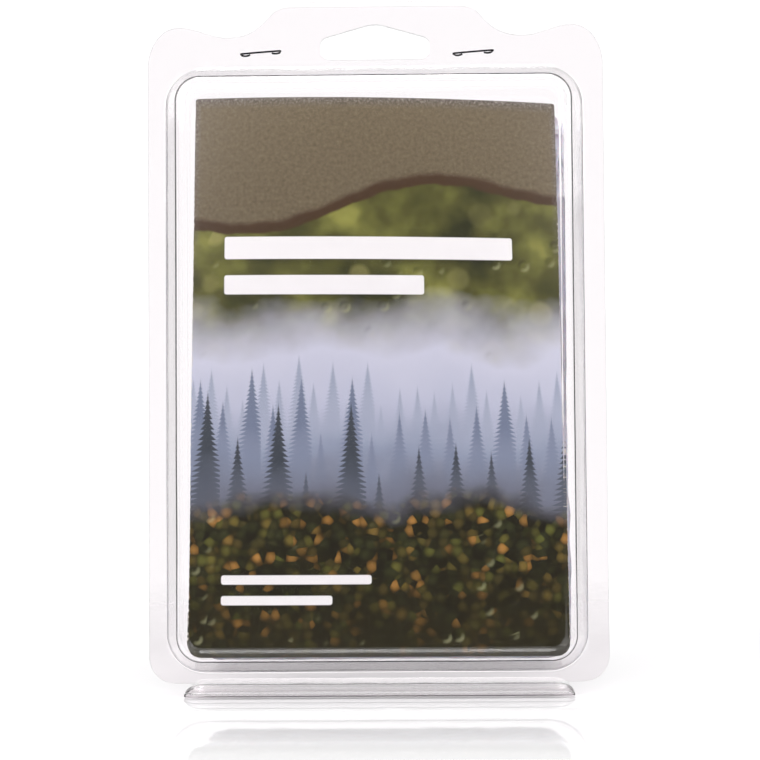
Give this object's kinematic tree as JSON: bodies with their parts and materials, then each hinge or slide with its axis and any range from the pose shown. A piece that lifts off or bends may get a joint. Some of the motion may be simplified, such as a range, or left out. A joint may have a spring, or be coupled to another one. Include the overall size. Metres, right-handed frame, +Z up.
{
  "type": "stapled clear clamshell pack with a printed card and a folded emergency sleeping bag",
  "caption": "Clear thermoformed clamshell standing on its foot, stapled at the top, with a hang slot, a printed card and a folded polythene film sleeping bag inside.",
  "frame": {"origin": "middle of the pack's box on the surface that its foot stands on", "axes": "+Z up, +X to the right seen from the front, +Y to the back; the card faces -Y"},
  "size_m": [0.142, 0.0294, 0.2157],
  "materials": {
    "clear_sheet": "clear thermoformed PET sheet, glossy",
    "printed_card": "printed card, satin varnish",
    "polythene_film": "milky polythene film, soft sheen",
    "steel_wire": "bright drawn wire"
  },
  "bodies": {
    "root": {"front_shell": "clear_sheet", "back_shell": "clear_sheet", "front_header": "clear_sheet", "back_header": "clear_sheet", "hinge_foot": "clear_sheet", "card": "printed_card", "folded_bag": "polythene_film", "staple_left": "steel_wire", "staple_right": "steel_wire"}
  },
  "joints": []
}
